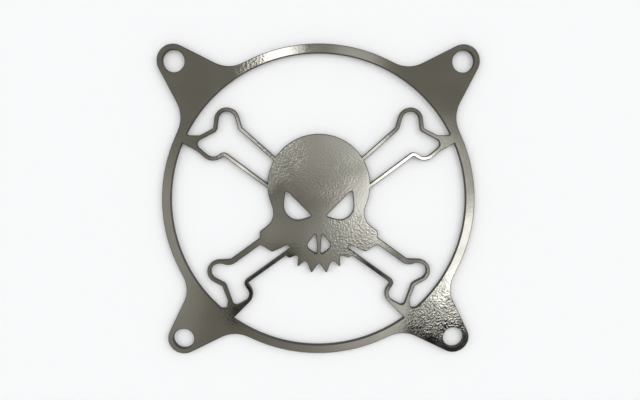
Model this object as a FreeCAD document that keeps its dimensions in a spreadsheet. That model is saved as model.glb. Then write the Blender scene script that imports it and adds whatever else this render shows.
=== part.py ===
import FreeCAD, Part
import math
import os

import Sketcher

# Fan cover: a guard for the mouth of an 80 mm case fan, cut as one piece from stainless sheet.
# A round rim with four screw ears carries a skull over two crossed bones drawn in outline.
# Millimetres and degrees. The back face lies on Z = 0, the origin is the centre of the rim,
# and the top of the skull points along +Y.

# Driving sizes: alias, value, meaning.
SIZES = [
    ("sheet_thickness", 1.2, "thickness of the sheet"),
    ("rim_diameter", 80.0, "outside of the round rim"),
    ("rim_width", 2.3, "width of the rim"),
    ("hole_pitch", 71.5, "distance between neighbouring screw holes"),
    ("hole_diameter", 5.4, "screw hole"),
    ("ear_radius", 4.15, "round end of an ear about its hole"),
    ("ear_blend", 7.8, "hollow curve from the flank of an ear to the rim"),
    ("ear_spread", 17.3, "angle from the diagonal of an ear to the centre of that curve"),
    ("blend_play", 0.05, "spare distance that leaves a short straight run beside a curve"),
    ("band_width", 1.0, "width of the lines that draw the bones"),
    ("fold_round", 0.4, "curve in the inner corners of the bones"),
    ("upper_angle", 39.4, "slope of the upper bones"),
    ("upper_drop", 1.8, "crossing of the upper bones, below the centre"),
    ("upper_root", 8.0, "start of an upper bone, under the cranium"),
    ("upper_root_half", 3.43, "half width of the shaft at its start"),
    ("upper_neck_half", 4.27, "half width of the shaft at its knobs"),
    ("upper_neck_round", 0.5, "curve from the shaft to the high knob"),
    ("upper_neck_run", 0.6, "straight run between that curve and the high knob"),
    ("upper_high_inset", 5.17, "high knob, in from the rim"),
    ("upper_high_rise", 3.3, "high knob, above the axis of the shaft"),
    ("upper_high_radius", 3.13, "high knob"),
    ("upper_cleft_inset", 3.33, "cleft between the knobs, in from the rim"),
    ("upper_cleft_run", 0.26, "straight run from the high knob into the cleft"),
    ("upper_toe_inset", 4.06, "toe of the low knob, in from the rim"),
    ("upper_toe_run", 2.28, "straight run from the cleft to the toe"),
    ("upper_toe_radius", 2.2, "toe of the low knob"),
    ("upper_low_inset", 6.59, "low knob, in from the rim"),
    ("upper_low_drop", 4.27, "low knob, below the axis of the shaft"),
    ("upper_low_radius", 3.38, "low knob"),
    ("tie_low_rise", 0.8, "lower end of the bar from toe to rim, above the middle of the toe"),
    ("tie_tip_round", 0.4, "tip of the opening between the bar and the rim"),
    ("tie_reach", 5.0, "run of the bar's upper end along the rim, past that tip"),
    ("lower_angle", 36.0, "slope of the lower bones"),
    ("lower_drop", 2.36, "crossing of the lower bones, below the centre"),
    ("lower_root", 9.0, "start of a lower bone, under the face"),
    ("lower_root_half", 3.85, "half width of the shaft at its start"),
    ("lower_neck_half", 3.85, "half width of the shaft at its knobs"),
    ("lower_neck_round", 1.5, "curve from the shaft to the high knob"),
    ("lower_neck_run", 0.1, "straight run between that curve and the high knob"),
    ("lower_high_inset", 7.79, "high knob, in from the rim"),
    ("lower_high_rise", 2.94, "high knob, above the axis of the shaft"),
    ("lower_high_radius", 3.13, "high knob"),
    ("lower_cleft_inset", 5.62, "cleft between the knobs, in from the rim"),
    ("lower_cleft_run", 0.1, "straight run from the high knob into the cleft"),
    ("lower_toe_inset", 6.4, "toe of the low knob, in from the rim"),
    ("lower_toe_run", 3.06, "straight run from the cleft to the toe"),
    ("lower_toe_radius", 1.95, "toe of the low knob"),
    ("lower_low_inset", 8.67, "low knob, in from the rim"),
    ("lower_low_drop", 5.16, "low knob, below the axis of the shaft"),
    ("lower_low_radius", 3.15, "low knob"),
    ("foot_pocket_inset", 3.21, "round corner between foot and toe, in from the rim"),
    ("foot_pocket_drop", 5.27, "round corner between foot and toe, below the axis of the shaft"),
    ("foot_pocket_round", 0.7, "round corner between foot and toe"),
    ("foot_high_angle", 44.5, "upper end of the foot along the rim, below the level"),
    ("foot_low_angle", 53.0, "lower end of the foot along the rim, below the level"),
    ("rib_width", 1.5, "full width of the upper line of a lower bone"),
    ("rib_fade_angle", 55.0, "direction from the high knob to the end of that line, above the shaft"),
    ("cranium_height", 4.9, "centre of the cranium, above the centre"),
    ("cranium_radius", 13.1, "cranium"),
    ("temple_angle", 23.3, "direction from the cranium to the hollow of the temple, below the level"),
    ("temple_radius", 4.5, "hollow of the temple"),
    ("cheek_half_width", 15.25, "greatest half width of the face"),
    ("cheek_fall", 0.2, "spare drop from the temple to the cheekbone"),
    ("cheek_height", 2.8, "straight side of the cheek"),
    ("cheek_point_inset", 3.15, "lowest point of the cheek, in from its side"),
    ("cheek_point_fall", 1.7, "lowest point of the cheek, below the end of its side"),
    ("corner_round", 0.5, "corners of the cheek"),
    ("jaw_drop", 13.5, "line of the jaw, below the centre"),
    ("slot_out", 8.2, "end of the slot between cheek and jaw, out from the middle"),
    ("slot_rise", 2.3, "end of that slot, above the line of the jaw"),
    ("slot_round", 0.6, "end of that slot"),
    ("jaw_side_out", 0.8, "side of the jaw, out from the end of the slot"),
    ("jaw_side_rise", 0.3, "side of the jaw, above its line"),
    ("nub_run", 0.65, "straight run between the jaw's nub and the gap beside it"),
    ("nub_round", 0.45, "nub at the corner of the jaw"),
    ("jaw_gap_fall", 0.4, "gap between nub and outer tooth, below the line of the jaw"),
    ("jaw_gap_round", 0.55, "gap between nub and outer tooth"),
    ("outer_tooth_out", 5.4, "tip of the outer tooth, out from the middle"),
    ("outer_tooth_fall", 2.5, "tip of the outer tooth, below the line of the jaw"),
    ("inner_tooth_out", 1.95, "tip of the inner tooth, out from the middle"),
    ("inner_tooth_fall", 4.15, "tip of the inner tooth, below the line of the jaw"),
    ("tooth_round", 0.2, "tip of a tooth"),
    ("tooth_gap_fall", 2.25, "gap between the teeth, below the line of the jaw"),
    ("tooth_gap_round", 0.8, "gap between outer and inner tooth"),
    ("middle_gap_round", 0.3, "gap between the inner teeth"),
    ("eye_out", 5.35, "round of the eye, out from the middle"),
    ("eye_drop", 0.35, "round of the eye, below the centre"),
    ("eye_radius", 3.6, "round of the eye"),
    ("eye_corner_round", 0.42, "corners of the eye"),
    ("eye_brow_angle", 49.0, "direction from the eye to its outer corner, above the level"),
    ("eye_brow_reach", 1.25, "outer corner, past the round of the eye"),
    ("eye_nose_angle", 41.4, "direction from the eye to its inner corner, below the level"),
    ("eye_nose_reach", 0.6, "inner corner, past the round of the eye"),
    ("nose_drop", 10.7, "widest part of the nose, below the centre"),
    ("nose_half_width", 2.95, "half width of the nose"),
    ("nose_side_round", 1.2, "side of a nostril"),
    ("nose_rise", 2.55, "top of a nostril, above its widest part"),
    ("nose_top_round", 0.35, "top of a nostril"),
    ("nose_bridge_half", 0.7, "half width of the bridge at the top of the nostrils"),
    ("nose_fall", 1.75, "bottom of a nostril, below its widest part"),
    ("nose_foot_round", 0.4, "bottom of a nostril"),
    ("nose_septum_half", 0.42, "half width of the septum between the nostrils"),
]

EAR_COUNT = 4
NODE = "fan_cover"

RIM_OUTSIDE = "sizes.rim_diameter / 2"
RIM_INSIDE = "(sizes.rim_diameter / 2 - sizes.rim_width)"
RIM_MIDDLE = "(sizes.rim_diameter / 2 - sizes.rim_width / 2)"

# An outline is a belt of stations, drawn clockwise. It wraps a boss on its right hand and a
# hollow on its left, turns sharply at a corner, and runs straight between them.
CORNER = 0
BOSS = 1
HOLLOW = -1


def corner(name, x, y):
    """A sharp corner of an outline."""
    return {"turn": CORNER, "name": name, "x": x, "y": y, "radius": "0"}


def boss(name, x, y, radius):
    """A convex round of an outline."""
    return {"turn": BOSS, "name": name, "x": x, "y": y, "radius": radius}


def hollow(name, x, y, radius):
    """A concave round of an outline."""
    return {"turn": HOLLOW, "name": name, "x": x, "y": y, "radius": radius}


def mirrored(stations):
    """The same stations on the other side of the middle, in the order that keeps the belt clockwise."""
    left = []
    for station in reversed(stations):
        left.append(dict(station, name="left_" + station["name"], x=f"-({station['x']})"))
    return left


def make_sheet(document):
    """Put the driving sizes in a spreadsheet, one aliased cell each."""
    sheet = document.addObject("Spreadsheet::Sheet", "sizes")
    for row, (alias, value, meaning) in enumerate(SIZES, start=1):
        sheet.set(f"A{row}", alias)
        sheet.set(f"B{row}", str(value))
        sheet.setAlias(f"B{row}", alias)
        sheet.set(f"C{row}", meaning)
    document.recompute()
    return sheet


def origin_plane(body, role):
    """One of the body's own origin planes."""
    for feature in body.Origin.OriginFeatures:
        if feature.Role == role:
            return feature
    raise RuntimeError(f"no plane {role}")


def new_sketch(body, name, angle=None, drop=None):
    """A sketch on the back face, with its axes turned and lowered for a bone."""
    sketch = body.newObject("Sketcher::SketchObject", name)
    sketch.AttachmentSupport = [(origin_plane(body, "XY_Plane"), "")]
    sketch.MapMode = "FlatFace"
    if angle:
        sketch.setExpression("AttachmentOffset.Rotation.Angle", angle)
        sketch.setExpression("AttachmentOffset.Base.y", f"-{drop}")
    return sketch


def tangent_points(first, second):
    """Ends of the straight run that leaves the first station and touches the second."""
    start, start_radius = first
    end, end_radius = second
    across = end - start
    lean = math.acos((start_radius - end_radius) / across.Length)
    heading = math.atan2(across.y, across.x) + lean
    normal = FreeCAD.Vector(math.cos(heading), math.sin(heading), 0)
    return start + normal * start_radius, end + normal * end_radius


def angle_about(centre, point):
    """Polar angle of a point about a centre."""
    return math.atan2(point.y - centre.y, point.x - centre.x)


def add_arc(sketch, centre, radius, arrival, departure):
    """Draw the arc of a station and return its index with its arriving and departing ends."""
    circle = Part.Circle(centre, FreeCAD.Vector(0, 0, 1), abs(radius))
    arrive = angle_about(centre, arrival)
    depart = angle_about(centre, departure)
    if radius > 0:
        return sketch.addGeometry(Part.ArcOfCircle(circle, depart, arrive), False), 2, 1
    return sketch.addGeometry(Part.ArcOfCircle(circle, arrive, depart), False), 1, 2


def fix_size(sketch, name, constraint, expression):
    """Add a dimension and bind it to the sheet."""
    index = sketch.addConstraint(constraint)
    sketch.renameConstraint(index, name)
    sketch.setExpression(f"Constraints.{name}", expression)


def fix_place(sketch, station, place, geometry, point):
    """Bind the place of a corner or of the centre of a round to the sheet."""
    if station["x"] == "0":
        sketch.addConstraint(Sketcher.Constraint("PointOnObject", geometry, point, -2))
    else:
        distance = Sketcher.Constraint("DistanceX", -1, 1, geometry, point, place.x)
        fix_size(sketch, station["name"] + "_x", distance, station["x"])
    if station["y"] == "0":
        sketch.addConstraint(Sketcher.Constraint("PointOnObject", geometry, point, -1))
    else:
        distance = Sketcher.Constraint("DistanceY", -1, 1, geometry, point, place.y)
        fix_size(sketch, station["name"] + "_y", distance, station["y"])


def draw_outline(sketch, sheet, stations):
    """Draw one closed outline through its stations, with every size bound to the sheet."""
    discs = []
    for station in stations:
        x = float(sheet.evalExpression(station["x"]))
        y = float(sheet.evalExpression(station["y"]))
        radius = station["turn"] * float(sheet.evalExpression(station["radius"]))
        discs.append((FreeCAD.Vector(x, y, 0), radius))
    count = len(stations)
    runs = [tangent_points(discs[i], discs[(i + 1) % count]) for i in range(count)]
    lines = [sketch.addGeometry(Part.LineSegment(*run), False) for run in runs]
    for i, station in enumerate(stations):
        centre, radius = discs[i]
        if station["turn"] == CORNER:
            sketch.addConstraint(Sketcher.Constraint("Coincident", lines[i - 1], 2, lines[i], 1))
            fix_place(sketch, station, centre, lines[i], 1)
            continue
        arc, arriving, departing = add_arc(sketch, centre, radius, runs[i - 1][1], runs[i][0])
        sketch.addConstraint(Sketcher.Constraint("Tangent", lines[i - 1], 2, arc, arriving))
        sketch.addConstraint(Sketcher.Constraint("Tangent", arc, departing, lines[i], 1))
        fix_place(sketch, station, centre, arc, 3)
        fix_size(sketch, station["name"] + "_r", Sketcher.Constraint("Radius", arc, abs(radius)),
                 station["radius"])


def draw_circle(sketch, name, x, y, diameter, sheet):
    """Draw a circle with its place and diameter bound to the sheet."""
    centre = FreeCAD.Vector(float(sheet.evalExpression(x)), float(sheet.evalExpression(y)), 0)
    size = float(sheet.evalExpression(diameter))
    geometry = sketch.addGeometry(Part.Circle(centre, FreeCAD.Vector(0, 0, 1), size / 2), False)
    fix_place(sketch, {"name": name, "x": x, "y": y}, centre, geometry, 3)
    fix_size(sketch, name + "_diameter", Sketcher.Constraint("Diameter", geometry, size), diameter)


def pad(body, sketch, name):
    """Raise a sketch to the thickness of the sheet."""
    feature = body.newObject("PartDesign::Pad", name)
    feature.Profile = sketch
    feature.setExpression("Length", "sizes.sheet_thickness")
    body.Document.recompute()
    return feature


def pocket(body, profile, name):
    """Cut a profile right through the sheet, and make sure that it cuts."""
    before = body.Shape.Volume
    feature = body.newObject("PartDesign::Pocket", name)
    feature.Profile = profile
    feature.Type = "ThroughAll"
    feature.Reversed = True
    body.Document.recompute()
    if not feature.Shape.Volume < before:
        raise RuntimeError(f"{name} cuts nothing")
    return feature


def mirror(body, originals, name):
    """Repeat features on the other side of the middle."""
    feature = body.newObject("PartDesign::Mirrored", name)
    feature.Originals = originals
    feature.MirrorPlane = (origin_plane(body, "YZ_Plane"), [""])
    body.Tip = feature
    body.Document.recompute()


def ear_stations():
    """Outside of the blank: four rim arcs, and four ears with a hollow curve on each flank."""
    stations = []
    blend_reach = f"({RIM_OUTSIDE} + sizes.ear_blend + sizes.blend_play)"
    for ear in range(EAR_COUNT):
        diagonal = 45 - ear * 360 / EAR_COUNT
        x_side = "" if math.cos(math.radians(diagonal)) > 0 else "-"
        y_side = "" if math.sin(math.radians(diagonal)) > 0 else "-"
        before = f"({diagonal} + sizes.ear_spread)"
        after = f"({diagonal} - sizes.ear_spread)"
        stations += [
            boss(f"rim_{ear}", "0", "0", RIM_OUTSIDE),
            hollow(f"before_{ear}", f"{blend_reach} * cos{before}", f"{blend_reach} * sin{before}",
                   "sizes.ear_blend"),
            boss(f"ear_{ear}", f"{x_side}sizes.hole_pitch / 2", f"{y_side}sizes.hole_pitch / 2",
                 "sizes.ear_radius"),
            hollow(f"after_{ear}", f"{blend_reach} * cos{after}", f"{blend_reach} * sin{after}",
                   "sizes.ear_blend"),
        ]
    return stations


def add_rim(body, sheet):
    """Rim with its ears, and the screw holes patterned round it."""
    sketch = new_sketch(body, "rim_sketch")
    draw_outline(sketch, sheet, ear_stations())
    draw_circle(sketch, "mouth", "0", "0", f"2 * {RIM_INSIDE}", sheet)
    pad(body, sketch, "rim")
    hole_sketch = new_sketch(body, "hole_sketch")
    draw_circle(hole_sketch, "hole", "sizes.hole_pitch / 2", "sizes.hole_pitch / 2",
                "sizes.hole_diameter", sheet)
    hole = pocket(body, hole_sketch, "screw_hole")
    holes = body.newObject("PartDesign::PolarPattern", "screw_holes")
    holes.Originals = [hole]
    holes.Axis = (origin_plane(body, "Z_Axis"), [""])
    holes.Angle = 360
    holes.Occurrences = EAR_COUNT
    body.Tip = holes
    body.Document.recompute()


def bone_stations(bone):
    """Outside of one bone, from the top of its shaft, with X along the shaft."""
    def size(word):
        return f"sizes.{bone}_{word}"
    neck_x = f"{high_x(bone)} - {size('high_radius')} - {size('neck_round')} - {size('neck_run')}"
    nape_x = f"{inset(bone, 'low')} - {size('low_radius')} - sizes.fold_round - sizes.blend_play"
    return [
        corner("root_top", size("root"), size("root_half")),
        hollow("neck", neck_x, f"{size('neck_half')} + {size('neck_round')}", size("neck_round")),
        boss("high_knob", high_x(bone), size("high_rise"), size("high_radius")),
        hollow("cleft", inset(bone, "cleft"), cleft_y(bone), "sizes.fold_round"),
        boss("toe", inset(bone, "toe"), toe_y(bone), size("toe_radius")),
        low_knob(bone),
        hollow("nape", nape_x, f"-({size('neck_half')} + sizes.fold_round)", "sizes.fold_round"),
        corner("root_bottom", size("root"), f"-{size('root_half')}"),
    ]


def inset(bone, feature):
    """Place along the shaft of a feature that is set in from the rim."""
    return f"({RIM_INSIDE} - sizes.{bone}_{feature}_inset)"


def high_x(bone):
    """Place of the high knob along the shaft."""
    return inset(bone, "high")


def cleft_y(bone):
    """Place of the cleft across the shaft, under the high knob."""
    return (f"(sizes.{bone}_high_rise - sizes.{bone}_high_radius - sizes.fold_round"
            f" - sizes.{bone}_cleft_run)")


def toe_y(bone):
    """Place of the toe across the shaft, under the cleft."""
    return f"({cleft_y(bone)} - sizes.fold_round - sizes.{bone}_toe_radius - sizes.{bone}_toe_run)"


def low_knob(bone):
    """The low knob, which the foot of a lower bone also wraps."""
    return boss("low_knob", inset(bone, "low"), f"-sizes.{bone}_low_drop", f"sizes.{bone}_low_radius")


def add_bone(body, sheet, bone):
    """Solid of one bone; its line is what the hollow leaves along the outside."""
    angle = f"sizes.{bone}_angle" if bone == "upper" else f"-sizes.{bone}_angle"
    sketch = new_sketch(body, f"{bone}_bone_sketch", angle, f"sizes.{bone}_drop")
    draw_outline(sketch, sheet, bone_stations(bone))
    return sketch, pad(body, sketch, f"{bone}_bone")


def hollow_bone(body, sketch, bone):
    """Cut out the inside of a bone, one band in from its outside."""
    inner = body.newObject("PartDesign::SubShapeBinder", f"{bone}_bone_inside")
    inner.Support = [(sketch, ("",))]
    inner.OffsetJoinType = "Intersection"
    inner.setExpression("Offset", "-sizes.band_width")
    body.Document.recompute()
    return pocket(body, inner, f"{bone}_bone_hollow")


def add_tie(body, sheet):
    """Bar that wraps the toe of an upper bone and ends in the rim, level above and slanting below."""
    toe_along = inset("upper", "toe")
    toe_across = toe_y("upper")
    toe_out = f"({toe_along} * cos(sizes.upper_angle) - {toe_across} * sin(sizes.upper_angle))"
    toe_height = (f"({toe_along} * sin(sizes.upper_angle) + {toe_across} * cos(sizes.upper_angle)"
                  " - sizes.upper_drop)")
    tip_height = f"({toe_height} + sizes.upper_toe_radius + sizes.tie_tip_round)"
    tip_out = f"sqrt(({RIM_INSIDE} - sizes.tie_tip_round)^2 - {tip_height}^2)"
    high_end = f"({tip_height} + sizes.tie_reach)"
    low_end = f"({toe_height} + sizes.tie_low_rise)"
    sketch = new_sketch(body, "tie_sketch")
    draw_outline(sketch, sheet, [
        boss("toe", toe_out, toe_height, "sizes.upper_toe_radius"),
        hollow("tip", tip_out, tip_height, "sizes.tie_tip_round"),
        corner("high_end", f"sqrt({RIM_MIDDLE}^2 - {high_end}^2)", high_end),
        corner("low_end", f"sqrt({RIM_MIDDLE}^2 - {low_end}^2)", low_end),
    ])
    return pad(body, sketch, "upper_bone_tie")


def rim_point(name, polar):
    """A corner in the middle of the rim, given by its direction, on the axes of a lower bone."""
    turn = f"({polar} - sizes.lower_angle)"
    x = f"{RIM_MIDDLE} * cos{turn} - sizes.lower_drop * sin(sizes.lower_angle)"
    y = f"sizes.lower_drop * cos(sizes.lower_angle) - {RIM_MIDDLE} * sin{turn}"
    return corner(name, x, y)


def add_foot(body, sheet):
    """Solid foot that carries the low knob of a lower bone on the rim."""
    sketch = new_sketch(body, "foot_sketch", "-sizes.lower_angle", "sizes.lower_drop")
    draw_outline(sketch, sheet, [
        corner("band", f"({inset('lower', 'cleft')} + {inset('lower', 'toe')}) / 2",
               f"({cleft_y('lower')} + {toe_y('lower')}) / 2"),
        hollow("pocket", f"{RIM_INSIDE} - sizes.foot_pocket_inset", "-sizes.foot_pocket_drop",
               "sizes.foot_pocket_round"),
        rim_point("high_end", "sizes.foot_high_angle"),
        rim_point("low_end", "sizes.foot_low_angle"),
        low_knob("lower"),
    ])
    return pad(body, sketch, "lower_bone_foot")


def add_rib(body, sheet):
    """Strip that makes the upper line of a lower bone thicker, and runs out under its high knob."""
    neck = bone_stations("lower")[1]
    fade = "(sizes.lower_high_radius - sizes.band_width / 2)"
    sketch = new_sketch(body, "rib_sketch", "-sizes.lower_angle", "sizes.lower_drop")
    draw_outline(sketch, sheet, [
        corner("root_top", "sizes.lower_root", "sizes.lower_root_half - sizes.band_width / 2"),
        hollow("neck_top", neck["x"], neck["y"], f"{neck['radius']} + sizes.band_width / 2"),
        corner("end", f"{high_x('lower')} - {fade} * cos(sizes.rib_fade_angle)",
               f"sizes.lower_high_rise + {fade} * sin(sizes.rib_fade_angle)"),
        boss("neck_bottom", neck["x"], neck["y"], f"{neck['radius']} + sizes.rib_width"),
        corner("root_bottom", "sizes.lower_root", "sizes.lower_root_half - sizes.rib_width"),
    ])
    return pad(body, sketch, "lower_bone_rib")


def add_bones(body, sheet):
    """Two bones on the right, tied to the rim, and their mirror images."""
    upper_sketch, upper = add_bone(body, sheet, "upper")
    tie = add_tie(body, sheet)
    upper_hollow = hollow_bone(body, upper_sketch, "upper")
    lower_sketch, lower = add_bone(body, sheet, "lower")
    foot = add_foot(body, sheet)
    lower_hollow = hollow_bone(body, lower_sketch, "lower")
    rib = add_rib(body, sheet)
    mirror(body, [upper, tie, upper_hollow, lower, foot, lower_hollow, rib], "left_bones")


def temple_stations():
    """Right side of the face, from the temple down to the slot between cheek and jaw."""
    reach = "(sizes.cranium_radius + sizes.temple_radius + sizes.blend_play)"
    temple_x = f"{reach} * cos(sizes.temple_angle)"
    temple_y = f"(sizes.cranium_height - {reach} * sin(sizes.temple_angle))"
    cheek_x = "(sizes.cheek_half_width - sizes.corner_round)"
    cheek_y = f"({temple_y} - sizes.temple_radius - sizes.corner_round - sizes.cheek_fall)"
    cheek_end_y = f"({cheek_y} - sizes.cheek_height)"
    return [
        hollow("temple", temple_x, temple_y, "sizes.temple_radius"),
        boss("cheekbone", cheek_x, cheek_y, "sizes.corner_round"),
        boss("cheek_end", cheek_x, cheek_end_y, "sizes.corner_round"),
        boss("cheek_point", "sizes.cheek_half_width - sizes.cheek_point_inset",
             f"{cheek_end_y} - sizes.cheek_point_fall", "sizes.corner_round"),
    ]


def jaw_stations():
    """Right side of the jaw, from the slot under the cheek to the inner tooth."""
    gap_x = "(sizes.outer_tooth_out + sizes.jaw_gap_round)"
    nub_x = f"{gap_x} + sizes.jaw_gap_round + sizes.nub_round + sizes.nub_run"
    return [
        hollow("slot", "sizes.slot_out", "sizes.slot_rise - sizes.jaw_drop", "sizes.slot_round"),
        corner("jaw_side", "sizes.slot_out + sizes.jaw_side_out", "sizes.jaw_side_rise - sizes.jaw_drop"),
        boss("nub", nub_x, "-sizes.jaw_drop", "sizes.nub_round"),
        hollow("jaw_gap", gap_x, "-sizes.jaw_drop - sizes.jaw_gap_fall", "sizes.jaw_gap_round"),
        boss("outer_tooth", "sizes.outer_tooth_out", "-sizes.jaw_drop - sizes.outer_tooth_fall",
             "sizes.tooth_round"),
        hollow("tooth_gap", "(sizes.outer_tooth_out + sizes.inner_tooth_out) / 2",
               "-sizes.jaw_drop - sizes.tooth_gap_fall", "sizes.tooth_gap_round"),
        boss("inner_tooth", "sizes.inner_tooth_out", "-sizes.jaw_drop - sizes.inner_tooth_fall",
             "sizes.tooth_round"),
    ]


def add_skull(body, sheet):
    """Flat skull that covers the crossing of the bones."""
    side = temple_stations() + jaw_stations()
    cranium = boss("cranium", "0", "sizes.cranium_height", "sizes.cranium_radius")
    middle_gap = hollow("middle_gap", "0", "-sizes.jaw_drop - sizes.tooth_gap_fall",
                        "sizes.middle_gap_round")
    sketch = new_sketch(body, "skull_sketch")
    draw_outline(sketch, sheet, [cranium] + side + [middle_gap] + mirrored(side))
    pad(body, sketch, "skull")


def add_eye(body, sheet):
    """Slanted eye: a round with one corner under the brow and one beside the nose."""
    reach = "(sizes.eye_radius - sizes.eye_corner_round"
    brow = f"{reach} + sizes.eye_brow_reach)"
    nose = f"{reach} + sizes.eye_nose_reach)"
    sketch = new_sketch(body, "eye_sketch")
    draw_outline(sketch, sheet, [
        boss("brow", f"sizes.eye_out + {brow} * cos(sizes.eye_brow_angle)",
             f"{brow} * sin(sizes.eye_brow_angle) - sizes.eye_drop", "sizes.eye_corner_round"),
        boss("round", "sizes.eye_out", "-sizes.eye_drop", "sizes.eye_radius"),
        boss("inner", f"sizes.eye_out - {nose} * cos(sizes.eye_nose_angle)",
             f"-{nose} * sin(sizes.eye_nose_angle) - sizes.eye_drop", "sizes.eye_corner_round"),
    ])
    return pocket(body, sketch, "eye")


def add_nostril(body, sheet):
    """Half of the heart-shaped nose, beside the septum."""
    sketch = new_sketch(body, "nostril_sketch")
    draw_outline(sketch, sheet, [
        boss("top", "sizes.nose_bridge_half + sizes.nose_top_round",
             "sizes.nose_rise - sizes.nose_drop", "sizes.nose_top_round"),
        boss("side", "sizes.nose_half_width - sizes.nose_side_round", "-sizes.nose_drop",
             "sizes.nose_side_round"),
        boss("foot", "sizes.nose_septum_half + sizes.nose_foot_round",
             "-sizes.nose_drop - sizes.nose_fall", "sizes.nose_foot_round"),
    ])
    return pocket(body, sketch, "nostril")


def check(document, body):
    """Make sure that every feature computed and that the part is one sound solid."""
    for item in document.Objects:
        if "Invalid" in item.State or "Error" in item.State:
            raise RuntimeError(f"{item.Name} is {item.State}")
        shape = getattr(item, "Shape", None)
        if shape is not None and (shape.isNull() or not shape.isValid()):
            raise RuntimeError(f"{item.Name} has no sound shape")
    if len(body.Shape.Solids) != 1:
        raise RuntimeError(f"{body.Name} is not one solid")


def main():
    """Build the document, check it and write the part's file."""
    os.makedirs("parts", exist_ok=True)
    document = FreeCAD.newDocument(NODE)
    sheet = make_sheet(document)
    body = document.addObject("PartDesign::Body", NODE)
    add_rim(body, sheet)
    add_bones(body, sheet)
    add_skull(body, sheet)
    mirror(body, [add_eye(body, sheet), add_nostril(body, sheet)], "left_face")
    document.recompute()
    check(document, body)
    body.Shape.exportStep(f"parts/{NODE}.step")


main()
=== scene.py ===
import math

import bmesh
import bpy
from mathutils import Matrix, Vector


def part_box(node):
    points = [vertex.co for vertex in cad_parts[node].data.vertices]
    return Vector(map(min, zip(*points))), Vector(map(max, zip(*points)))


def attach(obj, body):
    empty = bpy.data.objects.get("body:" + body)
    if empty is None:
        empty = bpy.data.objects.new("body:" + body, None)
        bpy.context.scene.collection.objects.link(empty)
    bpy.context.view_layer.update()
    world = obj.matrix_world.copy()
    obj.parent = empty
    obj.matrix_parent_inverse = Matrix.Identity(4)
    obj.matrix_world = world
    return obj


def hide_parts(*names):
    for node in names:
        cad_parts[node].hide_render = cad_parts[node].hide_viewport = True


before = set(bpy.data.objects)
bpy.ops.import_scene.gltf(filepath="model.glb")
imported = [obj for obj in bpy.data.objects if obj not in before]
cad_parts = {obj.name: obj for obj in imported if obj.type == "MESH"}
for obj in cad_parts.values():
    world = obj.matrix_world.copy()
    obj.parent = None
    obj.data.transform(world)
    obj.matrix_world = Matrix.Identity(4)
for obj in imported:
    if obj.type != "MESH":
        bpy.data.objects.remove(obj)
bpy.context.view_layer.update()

# Guard for the mouth of a case fan: one flat sheet of polished steel, lying on a pale floor.
# Metres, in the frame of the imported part: front face up, top of the skull along +Y.

bl_info = {
    "name": "Fan cover",
    "version": (1, 0, 0),
    "blender": (4, 5, 0),
    "location": "3D View > Sidebar > Fan cover",
    "description": "Finish of a laser-cut fan cover, with its floor, light and camera",
    "category": "Object",
}

MM = 0.001
SHEET = "fan_cover"
SHEET_LOW, SHEET_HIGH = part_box(SHEET)

# Places of the two finishes in the sheet's list of materials.
POLISHED = 0
CUT = 1


def linear_colour(code):
    """Linear RGB of an sRGB hex colour such as "#A6A59F"."""
    channels = [int(code[i:i + 2], 16) / 255 for i in (1, 3, 5)]
    return tuple(c / 12.92 if c <= 0.04045 else ((c + 0.055) / 1.055) ** 2.4 for c in channels)


class SheetSettings(bpy.types.PropertyGroup):
    """Edges and finish of the sheet."""

    edge_round: bpy.props.FloatProperty(
        name="Edge round", description="Radius that polishing leaves on the edges of both faces",
        default=0.18 * MM, subtype="DISTANCE", unit="LENGTH")
    edge_steps: bpy.props.IntProperty(
        name="Edge steps", description="Facets across a rounded edge", default=3)
    steel_colour: bpy.props.FloatVectorProperty(
        name="Steel", description="Colour of the polished faces", size=3, subtype="COLOR",
        default=linear_colour("#A6A59F"))
    cut_colour: bpy.props.FloatVectorProperty(
        name="Cut edge", description="Colour of the laser-cut walls", size=3, subtype="COLOR",
        default=linear_colour("#4A4844"))
    face_roughness: bpy.props.FloatProperty(
        name="Face roughness", description="Blur of reflections in the polished faces",
        default=0.08, subtype="FACTOR")
    cut_roughness: bpy.props.FloatProperty(
        name="Cut roughness", description="Blur of reflections in the cut walls",
        default=0.42, subtype="FACTOR")


class StageSettings(bpy.types.PropertyGroup):
    """Floor, light and camera."""

    floor_colour: bpy.props.FloatVectorProperty(
        name="Floor", description="Colour of the floor", size=3, subtype="COLOR",
        default=linear_colour("#F5F6F8"))
    key_strength: bpy.props.FloatProperty(
        name="Key light", description="Strength of the soft light from the right", default=1.05)
    fill_strength: bpy.props.FloatProperty(
        name="Fill light", description="Strength of the soft light from the left", default=0.85)
    light_width: bpy.props.FloatProperty(
        name="Light width", description="Angle that each soft light fills, seen from the sheet",
        default=math.radians(54), subtype="ANGLE")
    room_colour: bpy.props.FloatVectorProperty(
        name="Room", description="Light of the plain ceiling that the sheet mirrors", size=3,
        subtype="COLOR", default=linear_colour("#929086"))
    bright_side: bpy.props.FloatProperty(
        name="Bright side", description="Brightness of the room on the right", default=0.9)
    dim_side: bpy.props.FloatProperty(
        name="Dim side", description="Brightness of the room on the left", default=0.45)


def add_node(tree, kind, settings, inputs):
    """Add a node with its settings, and fill each input with a value or a link."""
    node = tree.nodes.new(kind)
    for name, value in settings.items():
        setattr(node, name, value)
    for name, value in inputs.items():
        if isinstance(value, bpy.types.NodeSocket):
            tree.links.new(value, node.inputs[name])
        else:
            node.inputs[name].default_value = value
    return node


def new_material(name):
    """An empty material with its output node."""
    material = bpy.data.materials.new(name)
    material.use_nodes = True
    material.node_tree.nodes.clear()
    return material


def opaque(colour):
    """A colour with full alpha, as a colour socket wants it."""
    return (*colour, 1.0)


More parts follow.
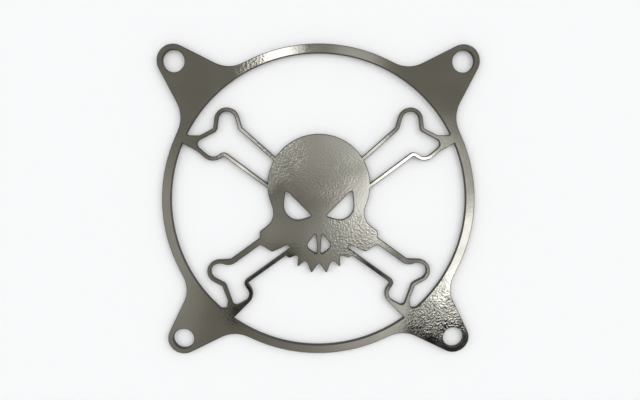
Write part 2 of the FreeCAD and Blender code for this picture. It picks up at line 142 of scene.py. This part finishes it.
# Areas where the polish is rougher: middle and reach on the sheet, in millimetres, and how
# rough the inner half is, from 0 to 1.
SCUFFS = {
    "lower right ear": (32, -28, 11, 0.9),
    "right cheek": (8, -8, 9, 0.6),
    "crown": (-9, 13, 9, 0.85),
    "brow": (3, 7, 9, 0.3),
    "upper rim": (-17, 35, 6, 0.7),
}


def scuffing(tree, place):
    """How rough the polish is, from 0 where it is smooth to 1 where it is most scuffed."""
    inner_share = 0.5
    level = 0.0
    for x, y, reach, strength in SCUFFS.values():
        away = add_node(tree, "ShaderNodeVectorMath", {"operation": "DISTANCE"},
                        {0: place, 1: (x * MM, y * MM, SHEET_HIGH[2])})
        fade = add_node(tree, "ShaderNodeMapRange", {"interpolation_type": "SMOOTHSTEP"},
                        {"Value": away.outputs["Value"], "From Min": reach * MM,
                         "From Max": reach * MM * inner_share, "To Min": 0.0,
                         "To Max": strength})
        level = add_node(tree, "ShaderNodeMath", {"operation": "MAXIMUM"},
                         {0: level, 1: fade.outputs["Result"]}).outputs["Value"]
    return level


def peel_depth(tree, place, smudge):
    """Height of the orange peel: slight where the sheet is smooth, deep and uneven in a scuff."""
    smooth_height = 0.005 * MM
    scuffed_height = 0.05 * MM
    # A scuff is lightest where the noise of the smudges is faint, and heaviest where it is strong.
    faint, strong = 0.35, 0.65
    lightest, heaviest = 0.35, 1.15
    uneven = add_node(tree, "ShaderNodeMapRange", {},
                      {"Value": smudge, "From Min": faint, "From Max": strong,
                       "To Min": lightest, "To Max": heaviest})
    scuffed = add_node(tree, "ShaderNodeMath", {"operation": "MULTIPLY"},
                       {0: scuffing(tree, place), 1: uneven.outputs["Result"]})
    height = add_node(tree, "ShaderNodeMapRange", {},
                      {"Value": scuffed.outputs["Value"], "To Min": smooth_height,
                       "To Max": scuffed_height})
    return height.outputs["Result"]


def smudged_roughness(tree, smudge, roughness):
    """Roughness of the polish, a little clearer or duller from place to place."""
    # The polish is clearest where the noise of the smudges is faint.
    faint, strong = 0.3, 0.7
    clearest, dullest = 0.7, 1.4
    blur = add_node(tree, "ShaderNodeMapRange", {},
                    {"Value": smudge, "From Min": faint, "From Max": strong,
                     "To Min": roughness * clearest, "To Max": roughness * dullest})
    return blur.outputs["Result"]


def polished_steel(settings):
    """Mirror-polished stainless sheet: warm grey, with rolling waves and an uneven orange peel."""
    wave_length = 11 * MM
    wave_height = 0.04 * MM
    peel_length = 0.6 * MM
    smudge_length = 4 * MM
    material = new_material("mirror-polished stainless sheet")
    tree = material.node_tree
    place = add_node(tree, "ShaderNodeTexCoord", {}, {}).outputs["Object"]
    waves = add_node(tree, "ShaderNodeTexNoise", {},
                     {"Vector": place, "Scale": 1 / wave_length, "Detail": 1.0})
    peel = add_node(tree, "ShaderNodeTexNoise", {},
                    {"Vector": place, "Scale": 1 / peel_length, "Detail": 2.0})
    smudges = add_node(tree, "ShaderNodeTexNoise", {},
                       {"Vector": place, "Scale": 1 / smudge_length, "Detail": 3.0})
    smudge = smudges.outputs["Fac"]
    rolled = add_node(tree, "ShaderNodeBump", {},
                      {"Height": waves.outputs["Fac"], "Distance": wave_height})
    polished = add_node(tree, "ShaderNodeBump", {},
                        {"Height": peel.outputs["Fac"], "Distance": peel_depth(tree, place, smudge),
                         "Normal": rolled.outputs["Normal"]})
    steel = add_node(tree, "ShaderNodeBsdfPrincipled", {},
                     {"Base Color": opaque(settings.steel_colour), "Metallic": 1.0,
                      "Roughness": smudged_roughness(tree, smudge, settings.face_roughness),
                      "Normal": polished.outputs["Normal"]})
    add_node(tree, "ShaderNodeOutputMaterial", {}, {"Surface": steel.outputs["BSDF"]})
    return material


def cut_steel(settings):
    """Laser-cut wall: duller and darker than the faces, with fine lines through the thickness."""
    line_pitch = 0.16 * MM
    line_length = 4 * MM
    line_height = 0.008 * MM
    material = new_material("laser-cut steel edge")
    tree = material.node_tree
    place = add_node(tree, "ShaderNodeTexCoord", {}, {}).outputs["Object"]
    stretched = add_node(tree, "ShaderNodeMapping", {},
                         {"Vector": place, "Scale": (1 / line_pitch, 1 / line_pitch, 1 / line_length)})
    lines = add_node(tree, "ShaderNodeTexNoise", {},
                     {"Vector": stretched.outputs["Vector"], "Scale": 1.0, "Detail": 1.0})
    striated = add_node(tree, "ShaderNodeBump", {},
                        {"Height": lines.outputs["Fac"], "Distance": line_height})
    steel = add_node(tree, "ShaderNodeBsdfPrincipled", {},
                     {"Base Color": opaque(settings.cut_colour), "Metallic": 1.0,
                      "Roughness": settings.cut_roughness, "Normal": striated.outputs["Normal"]})
    add_node(tree, "ShaderNodeOutputMaterial", {}, {"Surface": steel.outputs["BSDF"]})
    return material


def is_level(face):
    """True on the front and back face."""
    nearly_upright = 0.99
    return abs(face.normal.z) > nearly_upright


def sheet_mesh():
    """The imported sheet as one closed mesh, with the edges of both faces marked for rounding."""
    merge_distance = 0.001 * MM
    flat_angle = math.radians(0.1)
    shape = bmesh.new()
    shape.from_mesh(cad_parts[SHEET].data)
    bmesh.ops.remove_doubles(shape, verts=shape.verts, dist=merge_distance)
    bmesh.ops.dissolve_limit(shape, angle_limit=flat_angle, verts=shape.verts, edges=shape.edges)
    weights = shape.edges.layers.float.new("bevel_weight_edge")
    for edge in shape.edges:
        levels = [is_level(face) for face in edge.link_faces]
        edge[weights] = float(len(levels) == 2 and levels[0] != levels[1])
    for face in shape.faces:
        face.material_index = POLISHED if is_level(face) else CUT
        face.smooth = True
    mesh = bpy.data.meshes.new("polished_sheet")
    shape.to_mesh(mesh)
    shape.free()
    return mesh


class FANCOVER_OT_sheet(bpy.types.Operator):
    """Give the sheet its rounded edges, its polished faces and its cut walls"""

    bl_idname = "fan_cover.sheet"
    bl_label = "Sheet"

    def execute(self, context):
        settings = context.scene.fan_cover_sheet
        corner_angle = math.radians(40)
        mesh = sheet_mesh()
        mesh.set_sharp_from_angle(angle=corner_angle)
        mesh.materials.append(polished_steel(settings))
        mesh.materials.append(cut_steel(settings))
        sheet = bpy.data.objects.new("polished_sheet", mesh)
        context.scene.collection.objects.link(sheet)
        rounding = sheet.modifiers.new("polished edges", "BEVEL")
        rounding.limit_method = "WEIGHT"
        rounding.width = settings.edge_round
        rounding.segments = settings.edge_steps
        rounding.material = CUT
        rounding.harden_normals = True
        rounding.use_clamp_overlap = False
        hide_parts(SHEET)
        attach(sheet, "root")
        return {"FINISHED"}


# The camera stands near the sheet, over its upper half.
CAMERA_PLACE = Vector((-1.36, 18.09, 127.76)) * MM
CAMERA_AIM = Vector((0.28, 1.21, 1.2)) * MM
CAMERA_LENS = 28.1

# What the sheet mirrors: soft patches of light and shade in the room above it. Each is given by
# the place on the sheet where the camera sees it, in millimetres, with its two half widths,
# its turn in degrees, how soft its outline is from 0 to 1, and its brightness, which is below
# zero for a shade.
ROOM_PATCHES = {
    "crown": (2, 14, 17, 10, -20, 0.6, 0.36),
    "jaw": (8, -8, 11, 8, 0, 0.8, 0.4),
    "left cheek": (-13, -6, 5, 5, 0, 0.9, 0.2),
    "right temple": (9, 17, 7, 5, 0, 0.9, 0.3),
    "right side": (28, 6, 16, 13, 0, 0.5, 0.55),
    "right cheek": (17, -2, 9, 8, 0, 0.8, 1.6),
    "right rim": (38, -12, 5, 12, -15, 0.6, 2.3),
    "upper rim": (-10, 38, 5, 7, 0, 0.3, 3),
    "above the crown": (9, 36, 6, 6, 0, 0.9, 0.6),
    "left rim": (-40, -10, 8, 25, 5, 0.5, 0.3),
    "lower right": (22, -30, 18, 11, 0, 0.9, 0.8),
    "lower rim": (-6, -42, 12, 6, 0, 0.6, 0.1),
    "lower left shaft": (-13.5, -18.5, 8.5, 2.8, 38, 0.4, -1.3),
    "lower left foot": (-20, -27.5, 3.5, 2.5, 45, 0.4, -1.2),
    "lower right shaft": (14.2, -17.2, 7.5, 2.4, -37, 0.4, -1.5),
    "lower right upper shaft": (21.5, -14, 6, 3, -37, 0.5, -0.25),
    "lower right ear": (33, -36, 10, 8, 10, 0.2, -3),
    "upper right knob": (27, 6, 6, 6, 0, 0.4, 3),
    "top of the lower right ear": (34.5, -24, 4, 5, -20, 0.6, 3),
    "edge of the crown": (-10.5, 17, 6.5, 2.5, 38, 0.5, 0.4),
    "beside the crown": (-14, 22, 6, 3.5, 38, 0.5, 2.2),
    "upper left shaft": (-19.5, 9.5, 6.5, 2.4, -39, 0.6, 2),
    "upper right shaft": (21.5, 10.5, 7.5, 2.8, 39, 0.6, 3),
    "root of the upper right bone": (14, 14.8, 3.2, 2.2, 39, 0.6, 1.6),
}


def add_patch(tree, plan, name, level):
    """Add one patch to the brightness of the ceiling."""
    x, y, half_width, half_height, turn, softness, brightness = ROOM_PATCHES[name]
    distance = CAMERA_PLACE.z - SHEET_HIGH[2]
    centre = ((x * MM - CAMERA_PLACE.x) / distance, (y * MM - CAMERA_PLACE.y) / distance, 0)
    size = (half_width * MM / distance, half_height * MM / distance, 1)
    seen = add_node(tree, "ShaderNodeMapping", {"vector_type": "TEXTURE"},
                    {"Vector": plan, "Location": centre, "Rotation": (0, 0, math.radians(turn)),
                     "Scale": size})
    reach = add_node(tree, "ShaderNodeVectorMath", {"operation": "LENGTH"},
                     {0: seen.outputs["Vector"]})
    fade = add_node(tree, "ShaderNodeMapRange", {"interpolation_type": "SMOOTHSTEP"},
                    {"Value": reach.outputs["Value"], "From Min": 1 + softness,
                     "From Max": 1 - softness, "To Min": 0.0, "To Max": brightness})
    return add_node(tree, "ShaderNodeMath", {"operation": "ADD"},
                    {0: level, 1: fade.outputs["Result"]}).outputs["Value"]


def blend(tree, height, low, high, below, above):
    """A colour that goes from one to another as the direction climbs from low to high."""
    # A Mix node has sockets for numbers, vectors and colours, and these are the colours.
    below_socket, above_socket, blended_socket = 6, 7, 2
    climb = add_node(tree, "ShaderNodeMapRange", {"interpolation_type": "SMOOTHSTEP"},
                     {"Value": height, "From Min": low, "From Max": high})
    mix = add_node(tree, "ShaderNodeMix", {"data_type": "RGBA"},
                   {"Factor": climb.outputs["Result"], below_socket: below, above_socket: above})
    return mix.outputs[blended_socket]


def ceiling_plan(tree, direction, height):
    """Where a direction meets a level ceiling that is one unit above the sheet."""
    lowest = 0.2
    level_only = (1, 1, 0)
    raised = add_node(tree, "ShaderNodeMath", {"operation": "MAXIMUM"}, {0: height, 1: lowest})
    slant = add_node(tree, "ShaderNodeCombineXYZ", {},
                     {"X": raised.outputs["Value"], "Y": raised.outputs["Value"], "Z": 1.0})
    spread = add_node(tree, "ShaderNodeVectorMath", {"operation": "DIVIDE"},
                      {0: direction, 1: slant.outputs["Vector"]})
    plan = add_node(tree, "ShaderNodeVectorMath", {"operation": "MULTIPLY"},
                    {0: spread.outputs["Vector"], 1: level_only})
    return plan.outputs["Vector"]


def ceiling_light(tree, plan, room_colour):
    """Light of the ceiling: its plain colour with all the patches."""
    darkest = 0.015
    level = 0.0
    for name in ROOM_PATCHES:
        level = add_patch(tree, plan, name, level)
    lit = add_node(tree, "ShaderNodeVectorMath", {"operation": "ADD"},
                   {0: tuple(room_colour), 1: level})
    shaded = add_node(tree, "ShaderNodeVectorMath", {"operation": "MAXIMUM"},
                      {0: lit.outputs["Vector"], 1: (darkest,) * 3})
    return shaded.outputs["Vector"]


def room_light(world, settings):
    """A room with a patchy ceiling, sides brighter on the right, and pale walls near the floor."""
    # Heights of a direction: 0 is level and 1 is straight up.
    wall_foot, wall_top = 0.05, 0.5
    ceiling_edge, ceiling_full = 0.76, 0.87
    wall_light = 0.95
    world.use_nodes = True
    tree = world.node_tree
    tree.nodes.clear()
    direction = add_node(tree, "ShaderNodeTexCoord", {}, {}).outputs["Generated"]
    parts = add_node(tree, "ShaderNodeSeparateXYZ", {}, {"Vector": direction})
    height = parts.outputs["Z"]
    ceiling = ceiling_light(tree, ceiling_plan(tree, direction, height), settings.room_colour)
    sides = add_node(tree, "ShaderNodeMapRange", {},
                     {"Value": parts.outputs["X"], "From Min": -1.0, "From Max": 1.0,
                      "To Min": settings.dim_side, "To Max": settings.bright_side})
    room = blend(tree, height, ceiling_edge, ceiling_full, sides.outputs["Result"], ceiling)
    colour = blend(tree, height, wall_foot, wall_top, opaque((wall_light,) * 3), room)
    sky = add_node(tree, "ShaderNodeBackground", {}, {"Color": colour, "Strength": 1.0})
    add_node(tree, "ShaderNodeOutputWorld", {}, {"Surface": sky.outputs["Background"]})


# Directions of the two lights as seen from the sheet: to the right and to the left of it.
KEY_SOURCE = (0.50, 0.35, 0.55)
FILL_SOURCE = (-0.55, 0.10, 0.50)


def add_lamp(name, source, width, strength):
    """A wide soft light from a direction, the same all over the floor."""
    light = bpy.data.lights.new(name, "SUN")
    light.angle = width
    light.energy = strength
    lamp = bpy.data.objects.new(name, light)
    lamp.rotation_euler = Vector(source).to_track_quat("Z", "Y").to_euler()
    bpy.context.scene.collection.objects.link(lamp)
    return lamp


def add_floor(settings):
    """A pale floor just under the sheet."""
    half_width = 3.0
    clearance = 0.02 * MM
    card_roughness = 0.9
    card_gloss = 0.2
    level = SHEET_LOW[2] - clearance
    corners = [(x * half_width, y * half_width, level)
               for x, y in ((-1, -1), (1, -1), (1, 1), (-1, 1))]
    mesh = bpy.data.meshes.new("floor")
    mesh.from_pydata(corners, [], [(0, 1, 2, 3)])
    material = new_material("matt white card")
    tree = material.node_tree
    card = add_node(tree, "ShaderNodeBsdfPrincipled", {},
                    {"Base Color": opaque(settings.floor_colour), "Roughness": card_roughness,
                     "Specular IOR Level": card_gloss})
    add_node(tree, "ShaderNodeOutputMaterial", {}, {"Surface": card.outputs["BSDF"]})
    mesh.materials.append(material)
    floor = bpy.data.objects.new("floor", mesh)
    bpy.context.scene.collection.objects.link(floor)
    return floor


def add_camera():
    """The camera, with the top of the skull upwards in its picture."""
    nearest = 5 * MM
    ahead = (CAMERA_AIM - CAMERA_PLACE).normalized()
    right = ahead.cross(Vector((0, 1, 0))).normalized()
    up = right.cross(ahead)
    data = bpy.data.cameras.new("camera")
    data.lens = CAMERA_LENS
    data.clip_start = nearest
    camera = bpy.data.objects.new("camera", data)
    turn = Matrix((right, up, -ahead)).transposed().to_4x4()
    camera.matrix_world = Matrix.Translation(CAMERA_PLACE) @ turn
    bpy.context.scene.collection.objects.link(camera)
    bpy.context.scene.camera = camera
    return camera


class FANCOVER_OT_stage(bpy.types.Operator):
    """Set out the floor, the light and the camera"""

    bl_idname = "fan_cover.stage"
    bl_label = "Stage"

    def execute(self, context):
        settings = context.scene.fan_cover_stage
        world = bpy.data.worlds.new("room")
        room_light(world, settings)
        context.scene.world = world
        context.scene.view_settings.view_transform = "Standard"
        key = add_lamp("key", KEY_SOURCE, settings.light_width, settings.key_strength)
        fill = add_lamp("fill", FILL_SOURCE, settings.light_width, settings.fill_strength)
        add_floor(settings)
        add_camera()
        return {"FINISHED"}


class FANCOVER_PT_panel(bpy.types.Panel):
    """Buttons and settings of the fan cover."""

    bl_label = "Fan cover"
    bl_idname = "FANCOVER_PT_panel"
    bl_space_type = "VIEW_3D"
    bl_region_type = "UI"
    bl_category = "Fan cover"

    def draw(self, context):
        for settings in (context.scene.fan_cover_sheet, context.scene.fan_cover_stage):
            for name in settings.__annotations__:
                self.layout.prop(settings, name)
        for operator in OPERATORS:
            self.layout.operator(operator.bl_idname)


OPERATORS = (FANCOVER_OT_sheet, FANCOVER_OT_stage)
CLASSES = (SheetSettings, StageSettings, *OPERATORS, FANCOVER_PT_panel)


def register():
    """Make the settings, buttons and panel known."""
    for item in CLASSES:
        bpy.utils.register_class(item)
    bpy.types.Scene.fan_cover_sheet = bpy.props.PointerProperty(type=SheetSettings)
    bpy.types.Scene.fan_cover_stage = bpy.props.PointerProperty(type=StageSettings)


def unregister():
    """Take them away again."""
    del bpy.types.Scene.fan_cover_stage
    del bpy.types.Scene.fan_cover_sheet
    for item in reversed(CLASSES):
        bpy.utils.unregister_class(item)


def main():
    """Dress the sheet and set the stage."""
    register()
    bpy.ops.fan_cover.sheet()
    bpy.ops.fan_cover.stage()


if __name__ == "__main__":
    main()
